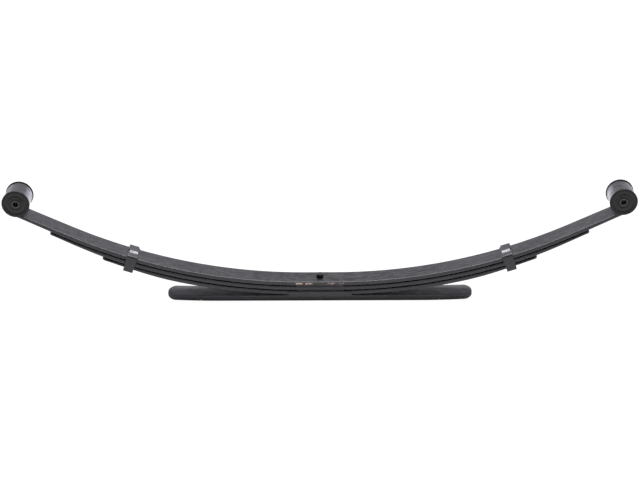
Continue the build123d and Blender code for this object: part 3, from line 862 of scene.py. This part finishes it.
def ramp(tree, value, low, high):
    """0 below low and 1 above high, eased in between."""
    node = add_node(tree, "ShaderNodeMapRange", {"interpolation_type": "SMOOTHSTEP"}, Value=value)
    for label, given in (("From Min", low), ("From Max", high)):
        if isinstance(given, bpy.types.NodeSocket):
            tree.links.new(given, node.inputs[label])
        else:
            node.inputs[label].default_value = given
    return node.outputs["Result"]


def blend_colours(tree, share, first, second):
    """first where share is 0, second where it is 1."""
    node = tree.nodes.new("ShaderNodeMix")
    node.data_type = "RGBA"
    for socket, value in ((node.inputs[0], share), (node.inputs[6], first), (node.inputs[7], second)):
        if isinstance(value, bpy.types.NodeSocket):
            tree.links.new(value, socket)
        else:
            socket.default_value = value
    return node.outputs[2]


# %% [markdown]
# ## Four shared patterns
#
# Mottle is a slow drift between two colours, stretched along the bar as brushed or dipped paint is.
# Spots keep only the peaks of a noise, as chips do. Wear starts from the `rim` attribute, so it stays on
# the edges; the same mask gives powder on moulded edges and painted shade over the clip liners' strip.
# Relief is a coarse and a fine noise added up, for the bump. Each could be built again in every
# material, but one group keeps them alike.

# %% Mottle, spots, worn edges and relief
mottle, takes, gives = new_group(
    "Mottle",
    [("Vector", "Vector", None), ("Scale", "Float", 20.0), ("Stretch", "Float", 1.0),
     ("Dark", "Color", (0.02, 0.02, 0.02, 1)), ("Light", "Color", (0.05, 0.05, 0.05, 1))],
    [("Color", "Color"), ("Factor", "Float")],
)
squeeze = add_node(mottle, "ShaderNodeCombineXYZ", Y=1.0, Z=1.0, X=takes.outputs["Stretch"])
stretched = add_node(mottle, "ShaderNodeVectorMath", {"operation": "MULTIPLY"}, i0=takes.outputs["Vector"],
                     i1=squeeze.outputs[0])
patches = noise(mottle, stretched.outputs[0], takes.outputs["Scale"], 5.0, 0.6)
factor = ramp(mottle, patches, 0.34, 0.66)
mixed_colour = blend_colours(mottle, factor, takes.outputs["Dark"], takes.outputs["Light"])
mottle.links.new(mixed_colour, gives.inputs["Color"])
mottle.links.new(factor, gives.inputs["Factor"])

spots, takes, gives = new_group(
    "Spots",
    [("Vector", "Vector", None), ("Scale", "Float", 200.0), ("Above", "Float", 0.65),
     ("Softness", "Float", 0.03)],
    [("Mask", "Float")],
)
speck = noise(spots, takes.outputs["Vector"], takes.outputs["Scale"], 3.0, 0.6)
upper = math(spots, "ADD", takes.outputs["Above"], takes.outputs["Softness"])
spots.links.new(ramp(spots, speck, takes.outputs["Above"], upper), gives.inputs["Mask"])

rim_wear_powder_shade, takes, gives = new_group(
    "Worn edge",
    [("Vector", "Vector", None), ("Rim", "Float", 0.0), ("Scale", "Float", 120.0), ("Amount", "Float", 0.3)],
    [("Mask", "Float")],
)
rub = noise(rim_wear_powder_shade, takes.outputs["Vector"], takes.outputs["Scale"], 6.0, 0.65)
reach = math(rim_wear_powder_shade, "MULTIPLY", takes.outputs["Rim"], takes.outputs["Amount"])
rubbed = math(rim_wear_powder_shade, "ADD", rub, reach)
rim_wear_powder_shade.links.new(ramp(rim_wear_powder_shade, rubbed, 0.78, 0.86), gives.inputs["Mask"])

relief, takes, gives = new_group(
    "Relief",
    [("Vector", "Vector", None), ("Coarse Scale", "Float", 250.0), ("Fine Scale", "Float", 1500.0),
     ("Fine Share", "Float", 0.3)],
    [("Height", "Float")],
)
coarse = noise(relief, takes.outputs["Vector"], takes.outputs["Coarse Scale"], 2.0, 0.5)
fine = noise(relief, takes.outputs["Vector"], takes.outputs["Fine Scale"], 2.0, 0.6)
grain = math(relief, "MULTIPLY", fine, takes.outputs["Fine Share"])
relief.links.new(math(relief, "ADD", coarse, grain), gives.inputs["Height"])
print("node groups:", [group.name for group in bpy.data.node_groups])

# %% [markdown]
# ## The materials' common start
#
# Every finish below starts in the same way: a Principled BSDF, the `place` and `rim` attributes, and a
# bump that turns the relief group's height into a normal.

# %% Material helpers


def use(tree, group, **inputs):
    """A copy of a node group placed in a material with its own values."""
    node = tree.nodes.new("ShaderNodeGroup")
    node.node_tree = group
    for key, value in inputs.items():
        socket = node.inputs[key.replace("_", " ")]
        if isinstance(value, bpy.types.NodeSocket):
            tree.links.new(value, socket)
        else:
            socket.default_value = value
    return node


def start_material(name, specular=0.5):
    """A material with its shader, the place socket and the rim socket."""
    material = bpy.data.materials.new(name)
    material.use_nodes = True
    tree = material.node_tree
    shader = tree.nodes["Principled BSDF"]
    shader.inputs["Specular IOR Level"].default_value = specular
    place = add_node(tree, "ShaderNodeAttribute", {"attribute_name": "place"}).outputs["Vector"]
    rim = add_node(tree, "ShaderNodeAttribute", {"attribute_name": "rim"}).outputs["Fac"]
    return material, tree, shader, place, rim


def add_relief(tree, shader, place, coarse, fine, share, depth):
    """Bump from the relief group: depth is the height of its bumps in metres."""
    height = use(tree, relief, Vector=place, Coarse_Scale=coarse, Fine_Scale=fine, Fine_Share=share).outputs[0]
    bump = add_node(tree, "ShaderNodeBump", Height=height, Distance=depth, Strength=1.0)
    tree.links.new(bump.outputs[0], shader.inputs["Normal"])


def grey(value, blue=1.0):
    """A grey with a little more or less blue."""
    return (value, value, value * blue, 1)


# %% [markdown]
# ## Black paint
#
# The leaves are dipped in satin black paint. It is a bluish black, a little patchy along the bar, with
# fine orange peel. Dust dulls it in places, and on the edges it has rubbed through to grey scale. The
# rounded edges also carry a painted highlight, a pale bluish line for the light they catch, stronger on
# the overload leaf. The rolled eyes carry a patchy painted lavender highlight on the side that faces the
# spring's centre, and the seat has chipped the main leaf's sides. Faces that point up are lightened,
# partly as settled dust and partly as painted light from above, which is kept for the flat overload leaf.

# %% Black paint


def between(tree, value, low, high, edge):
    """1 where a value lies from low to high, with soft ends."""
    above_low = ramp(tree, value, low - edge, low + edge)
    above_high = ramp(tree, value, high - edge, high + edge)
    return math(tree, "SUBTRACT", above_low, above_high)


def seat_chips(tree, spot_place):
    """Paint flaked off the main leaf's sides by the seat, and one chip near each overload tip's lower edge."""
    parts = add_node(tree, "ShaderNodeSeparateXYZ", Vector=spot_place)
    x = math(tree, "ABSOLUTE", parts.outputs["X"])
    across = math(tree, "ABSOLUTE", parts.outputs["Y"])
    side_face = ramp(tree, across, BAR_WIDTH / 2 - 1.5 * MM, BAR_WIDTH / 2 - 0.5 * MM)
    flaked = use(tree, spots, Vector=spot_place, Scale=120.0, Above=0.49, Softness=0.05).outputs["Mask"]
    zone = math(tree, "MULTIPLY", between(tree, x, 0.019, 0.064, 0.002),
                between(tree, parts.outputs["Z"], SEAT_Z - 6.8 * MM, SEAT_Z - 2.6 * MM, 0.6 * MM))
    seat = math(tree, "MULTIPLY", math(tree, "MULTIPLY", zone, side_face), flaked)
    folded = add_node(tree, "ShaderNodeCombineXYZ", X=x, Y=across, Z=parts.outputs["Z"])
    reach = add_node(tree, "ShaderNodeVectorMath", {"operation": "DISTANCE"}, i0=folded.outputs[0],
                     i1=(0.318, BAR_WIDTH / 2 - 1.2 * MM, 2.4 * MM))
    tip = math(tree, "SUBTRACT", 1.0, ramp(tree, reach.outputs["Value"], 2.2 * MM, 3.6 * MM))
    return math(tree, "MAXIMUM", seat, tip)


def patches(tree, place, scale, stretch):
    """A patchy share from 0 to 1, taken from the mottle group."""
    node = use(tree, mottle, Vector=place, Scale=scale, Stretch=stretch, Dark=grey(0), Light=grey(1))
    return node.outputs["Factor"]


def black_paint(name, dark, light, roughness, wear, dust=0.12, up_face_dust_and_light=0.0, edge=0.4):
    """Satin paint: mottled colour, dusty patches, worn edges and orange peel, with painted highlights on the rounded
    edges (edge is their base share) and on the eyes' inboard side, and up-facing faces lightened partly as settled
    dust and partly as painted light.
    """
    material, tree, shader, place, rim = start_material(name)
    base = use(tree, mottle, Vector=place, Scale=26.0, Stretch=0.25, Dark=dark, Light=light)
    film = patches(tree, place, 90.0, 0.5)
    # Dust patches, plus faces that point up blended towards the same pale grey: partly settled dust, partly painted
    # light from above.
    facing = add_node(tree, "ShaderNodeTexCoord").outputs["Normal"]
    upward = ramp(tree, add_node(tree, "ShaderNodeSeparateXYZ", Vector=facing).outputs["Z"], 0.7, 0.95)
    dust_and_top_light = math(tree, "ADD", math(tree, "MULTIPLY", film, dust), math(tree, "MULTIPLY", upward, up_face_dust_and_light))
    colour = blend_colours(tree, dust_and_top_light, base.outputs["Color"], grey(0.10, 1.03))
    # Painted highlight: the eye's upper inboard side is blended in patches towards lavender white, in place of the
    # bright room it reflects.
    rolled = add_node(tree, "ShaderNodeAttribute", {"attribute_name": "rolled"}).outputs["Fac"]
    eye_highlight_patches = patches(tree, place, 110.0, 0.4)
    painted_eye_highlight = math(tree, "MULTIPLY", rolled, math(tree, "ADD", math(tree, "MULTIPLY", eye_highlight_patches, 0.6), 0.25))
    colour = blend_colours(tree, painted_eye_highlight, colour, (0.44, 0.42, 0.50, 1))
    # Painted highlight: the rounded edges are blended, in broken patches, towards a pale bluish grey for the light
    # lines they catch.
    edge_highlight_breaks = patches(tree, place, 160.0, 0.3)
    edge_highlight_share = math(tree, "ADD", math(tree, "MULTIPLY", edge_highlight_breaks, 0.4), edge)
    painted_edge_highlight = math(tree, "MULTIPLY", rim, edge_highlight_share, clamp=True)
    colour = blend_colours(tree, painted_edge_highlight, colour, (0.105, 0.100, 0.112, 1))
    spot_place = add_node(tree, "ShaderNodeTexCoord").outputs["Object"]
    colour = blend_colours(tree, seat_chips(tree, spot_place), colour, (0.72, 0.50, 0.42, 1))
    rubbed = use(tree, rim_wear_powder_shade, Vector=place, Rim=rim, Scale=150.0, Amount=wear).outputs["Mask"]
    tree.links.new(blend_colours(tree, rubbed, colour, (0.10, 0.09, 0.085, 1)), shader.inputs["Base Color"])
    rough = math(tree, "ADD", math(tree, "MULTIPLY", film, 0.14), roughness)
    rough = math(tree, "ADD", rough, math(tree, "MULTIPLY", painted_edge_highlight, 0.15))
    tree.links.new(rough, shader.inputs["Roughness"])
    add_relief(tree, shader, place, 320.0, 1600.0, 0.35, 0.10 * MM)
    return material


leaf_paint = black_paint("leaf_black_paint", (0.004, 0.004, 0.005, 1), (0.014, 0.013, 0.016, 1), 0.24, 0.22)
clip_paint = black_paint("clip_black_paint", (0.008, 0.008, 0.010, 1), (0.022, 0.022, 0.026, 1), 0.30, 0.26)
# The overload leaf gets a stronger painted edge highlight, and its top face is lightened, partly as painted light.
overload_paint = black_paint("overload_black_paint", (0.008, 0.0075, 0.009, 1), (0.018, 0.017, 0.020, 1),
                             0.40, 0.26, up_face_dust_and_light=0.55, edge=0.7)
for piece in leaves + [overload]:
    piece.data.materials.clear()
    piece.data.materials.append(overload_paint if piece is overload else leaf_paint)
saddle.data.materials.append(clip_paint)
for piece in clips + rivets:
    piece.data.materials.append(clip_paint)

# %% [markdown]
# ## Rubber, nylon and plastic
#
# The bushes are moulded black rubber with a dull sheen and a fine grain, with painted shade that makes
# them darkest at the lip and painted light that makes them paler inside it with faint rings. The clip
# liners are pale grey nylon. The strip under the clip is painted dark grey as shade, and only the rib
# between the tabs shows the pale grey. The slip pads are a dull black plastic.

# %% Rubber and plastics


def painted_ring_shading(tree):
    """Painted shade and light across a bush's face: a low share, near black, at the outer lip, then higher with faint
    painted rings.
    """
    spot_place = add_node(tree, "ShaderNodeTexCoord").outputs["Object"]
    parts = add_node(tree, "ShaderNodeSeparateXYZ", Vector=spot_place)
    x = math(tree, "SUBTRACT", math(tree, "ABSOLUTE", parts.outputs["X"]), EYE_X)
    z = math(tree, "SUBTRACT", parts.outputs["Z"], EYE_Z)
    radius = math(tree, "SQRT", math(tree, "ADD", math(tree, "MULTIPLY", x, x), math(tree, "MULTIPLY", z, z)))
    inside = math(tree, "SUBTRACT", 1.0, ramp(tree, radius, 27 * MM, 33 * MM))
    wave = math(tree, "SINE", math(tree, "MULTIPLY", radius, 2 * pi / (7 * MM)))
    rings = math(tree, "ADD", math(tree, "MULTIPLY", wave, 0.18), 0.62)
    return math(tree, "ADD", math(tree, "MULTIPLY", inside, rings), 0.15)


def moulded(name, dark, light, roughness, edge_powder_and_shade, edge_powder_and_shade_colour, peel, rings=False):
    """A moulded surface: soft mottling, powder on its edges, fine grain; where rim covers a whole piece the powder
    colour is painted shade, and rings adds painted shade and light across a bush's face.
    """
    material, tree, shader, place, rim = start_material(name, 0.4)
    base = use(tree, mottle, Vector=place, Scale=70.0, Stretch=1.0, Dark=dark, Light=light)
    colour = base.outputs["Color"]
    # Painted shade and light: with rings, the bush face goes near black at the lip and paler inside, with rings.
    if rings:
        colour = blend_colours(tree, painted_ring_shading(tree), grey(0.001), colour)
    powdered_and_shaded = use(tree, rim_wear_powder_shade, Vector=place, Rim=rim, Scale=90.0, Amount=edge_powder_and_shade).outputs["Mask"]
    tree.links.new(blend_colours(tree, powdered_and_shaded, colour, edge_powder_and_shade_colour), shader.inputs["Base Color"])
    rough = math(tree, "ADD", math(tree, "MULTIPLY", base.outputs["Factor"], 0.12), roughness)
    tree.links.new(rough, shader.inputs["Roughness"])
    add_relief(tree, shader, place, 500.0, 2600.0, 0.6, peel)
    return material


rubber = moulded("bush_rubber", grey(0.010), grey(0.030), 0.45, 0.18, grey(0.04), 0.05 * MM, rings=True)
# Nylon: pale grey. Its edge colour is dark grey, and as the strip's rim is 1 throughout, it lays painted shade over
# the whole strip.
nylon = moulded("clip_nylon", grey(0.19, 1.04), grey(0.34, 1.04), 0.42, 0.95, grey(0.022), 0.03 * MM)
pad_plastic = moulded("pad_plastic", grey(0.014), grey(0.028), 0.5, 0.2, grey(0.08), 0.04 * MM)
for pieces, material, slot in ((bushes, rubber, "bush_rubber"), (clip_liners, nylon, "clip_nylon"),
                               (pads, pad_plastic, "pad_plastic")):
    for piece in pieces:
        piece.data.materials.append(material)

# %% [markdown]
# ## Bare and blackened steel
#
# The sleeves and the bolt are steel with a thin dark finish that lets some metal through, so they mix
# a high Metallic value with patchy roughness. The centre liners are oiled plate, with a little dull rust
# on them on both sides of the bolt.

# %% Steel finishes


def dark_steel(name, dark, light, roughness):
    """Blackened steel: metallic, with patches where the finish is thin."""
    material, tree, shader, place, rim = start_material(name)
    base = use(tree, mottle, Vector=place, Scale=120.0, Stretch=1.0, Dark=dark, Light=light)
    rubbed = use(tree, rim_wear_powder_shade, Vector=place, Rim=rim, Scale=260.0, Amount=0.3).outputs["Mask"]
    colour = blend_colours(tree, rubbed, base.outputs["Color"], (0.30, 0.26, 0.23, 1))
    tree.links.new(colour, shader.inputs["Base Color"])
    tree.links.new(math(tree, "ADD", math(tree, "MULTIPLY", base.outputs["Factor"], 0.2), roughness),
                   shader.inputs["Roughness"])
    shader.inputs["Metallic"].default_value = 0.7
    add_relief(tree, shader, place, 600.0, 2200.0, 0.5, 0.04 * MM)
    return material


def rusty_plate(name):
    """Dark oiled plate with dull rust in spots, away from the bolt: |x| over about 19 mm."""
    material, tree, shader, place, rim = start_material(name)
    spot_place = add_node(tree, "ShaderNodeTexCoord").outputs["Object"]
    base = use(tree, mottle, Vector=spot_place, Scale=80.0, Stretch=1.0, Dark=grey(0.014), Light=grey(0.03))
    x = add_node(tree, "ShaderNodeSeparateXYZ", Vector=spot_place).outputs["X"]
    away = ramp(tree, math(tree, "ABSOLUTE", x), 0.016, 0.022)
    rust = use(tree, spots, Vector=spot_place, Scale=130.0, Above=0.50, Softness=0.06).outputs["Mask"]
    rusted = math(tree, "MULTIPLY", away, rust)
    shade = use(tree, mottle, Vector=spot_place, Scale=420.0, Stretch=1.0, Dark=(0.05, 0.03, 0.022, 1),
                Light=(0.14, 0.09, 0.07, 1))
    tree.links.new(blend_colours(tree, rusted, base.outputs["Color"], shade.outputs["Color"]),
                   shader.inputs["Base Color"])
    tree.links.new(math(tree, "ADD", math(tree, "MULTIPLY", rusted, 0.4), 0.45), shader.inputs["Roughness"])
    add_relief(tree, shader, spot_place, 500.0, 2000.0, 0.5, 0.08 * MM)
    return material


bolt_black = dark_steel("bolt_black", grey(0.008), grey(0.02), 0.42)
sleeve_steel = dark_steel("sleeve_steel", grey(0.06), grey(0.12), 0.42)
liner_steel = rusty_plate("liner_steel")
for pieces, material, slot in (([bolt, nut], bolt_black, "bolt_black"),
                               (sleeves, sleeve_steel, "sleeve_steel"),
                               (centre_liners, liner_steel, "liner_steel")):
    for piece in pieces:
        piece.data.materials.append(material)
print("materials:", [material.name for material in bpy.data.materials])

# %% [markdown]
# ## Floor and light
#
# The spring lies in a bright studio: a white floor, a white wall behind, a broad soft light overhead,
# and a dim room behind the camera. Black paint shows mostly what it reflects, so it is this split
# between bright and dim that draws the edges of the leaves.

# %% Floor
bpy.ops.mesh.primitive_plane_add(size=60, location=(0, 0, -0.0004))
floor = bpy.context.object
floor.name = "studio_floor"
floor_paint = bpy.data.materials.new("studio_floor")
floor_paint.use_nodes = True
floor_shader = floor_paint.node_tree.nodes["Principled BSDF"]
floor_shader.inputs["Base Color"].default_value = (0.75, 0.75, 0.75, 1)
floor_shader.inputs["Roughness"].default_value = 0.9
floor_shader.inputs["Specular IOR Level"].default_value = 0.0
floor_tree = floor_paint.node_tree
glow = add_node(floor_tree, "ShaderNodeEmission", Color=(1, 1, 1, 1), Strength=1.08)
floor_seen = add_node(floor_tree, "ShaderNodeLightPath").outputs["Is Camera Ray"]
share = math(floor_tree, "MULTIPLY", floor_seen, 0.9)
floor_mix = add_node(floor_tree, "ShaderNodeMixShader", i0=share, i1=floor_shader.outputs[0],
                     i2=glow.outputs[0])
floor_tree.links.new(floor_mix.outputs[0], floor_tree.nodes["Material Output"].inputs["Surface"])
floor.data.materials.append(floor_paint)

# %% [markdown]
# ## The room and its lamp
#
# The room is a colour worked out from the direction of a ray: bright behind and overhead, dim in front,
# and a little dimmer straight behind the spring's centre. Rays from the camera see plain white instead.
# One broad lamp hangs overhead, slightly behind the spring. An image of a studio could do the same, but
# this way each part of the room has a value that can be changed.

# %% World and lights
world = bpy.data.worlds.new("studio")
bpy.context.scene.world = world
world.use_nodes = True
tree = world.node_tree
tree.nodes.clear()
way = add_node(tree, "ShaderNodeTexCoord").outputs["Generated"]
split = add_node(tree, "ShaderNodeSeparateXYZ", Vector=way)
towards_back = ramp(tree, split.outputs["Y"], -0.1, 0.4)
towards_top = ramp(tree, split.outputs["Z"], 0.6, 0.95)
low_band = math(tree, "SUBTRACT", 1.0, ramp(tree, split.outputs["Z"], 0.06, 0.20))
strip = math(tree, "MULTIPLY", math(tree, "MULTIPLY", towards_back, low_band), 1.4)
off_centre = ramp(tree, math(tree, "ABSOLUTE", split.outputs["X"]), 0.0, 0.085)
side_share = math(tree, "ADD", math(tree, "MULTIPLY", off_centre, 0.5), 0.35)
back_share = math(tree, "MULTIPLY", towards_back, side_share)
bright = math(tree, "MAXIMUM", back_share, towards_top)
room = blend_colours(tree, bright, (0.10, 0.10, 0.11, 1), (0.90, 0.88, 0.97, 1))
lit = add_node(tree, "ShaderNodeBackground", Color=room, Strength=math(tree, "ADD", strip, 0.9))
plain = add_node(tree, "ShaderNodeBackground", Color=(1, 1, 1, 1), Strength=1.0)
seen = add_node(tree, "ShaderNodeLightPath").outputs["Is Camera Ray"]
mixed = add_node(tree, "ShaderNodeMixShader", i0=seen, i1=lit.outputs[0], i2=plain.outputs[0])
add_node(tree, "ShaderNodeOutputWorld", Surface=mixed.outputs[0])
print("world nodes:", len(tree.nodes))


def soft_light(name, place, target, size, power):
    """A rectangular soft box that faces a point."""
    light = bpy.data.lights.new(name, "AREA")
    light.shape, light.size, light.size_y, light.energy = "RECTANGLE", size[0], size[1], power
    lamp = bpy.data.objects.new(name, light)
    bpy.context.scene.collection.objects.link(lamp)
    direction = np.subtract(target, place)
    lamp.rotation_euler = Vector(direction).to_track_quat("-Z", "Y").to_euler()
    lamp.location = place
    return lamp


soft_light("overhead", (0, 1.1, 3.0), (0, 0.3, 0), (4.5, 2.2), 200)

# %% [markdown]
# ## Camera
#
# A long lens from a few metres away, a little above the spring, keeps its long arch almost free of
# perspective. The view is turned by a fifth of a degree, as the spring does not lie quite level.

# %% Camera
camera_data = bpy.data.cameras.new("camera")
camera = bpy.data.objects.new("camera", camera_data)
bpy.context.scene.collection.objects.link(camera)
bpy.context.scene.camera = camera
CAMERA_DISTANCE = 4.366
CAMERA_HEIGHT_ANGLE = radians(24.46)
LOOK_AT = np.array([0.0006, 0.0, 0.1650])
CAMERA_TURN = radians(0.203)
camera_data.sensor_width = 36.0
camera_data.lens = 92.6
away = np.array([0.0, -cos(CAMERA_HEIGHT_ANGLE), sin(CAMERA_HEIGHT_ANGLE)])
camera.location = LOOK_AT + CAMERA_DISTANCE * away
aim = Vector(-away).to_track_quat("-Z", "Y").to_matrix().to_4x4()
camera.rotation_euler = (aim @ Matrix.Rotation(-CAMERA_TURN, 4, "Z")).to_euler()
bpy.context.scene.view_settings.view_transform = "Standard"
print("camera at", np.round(camera.location, 4))
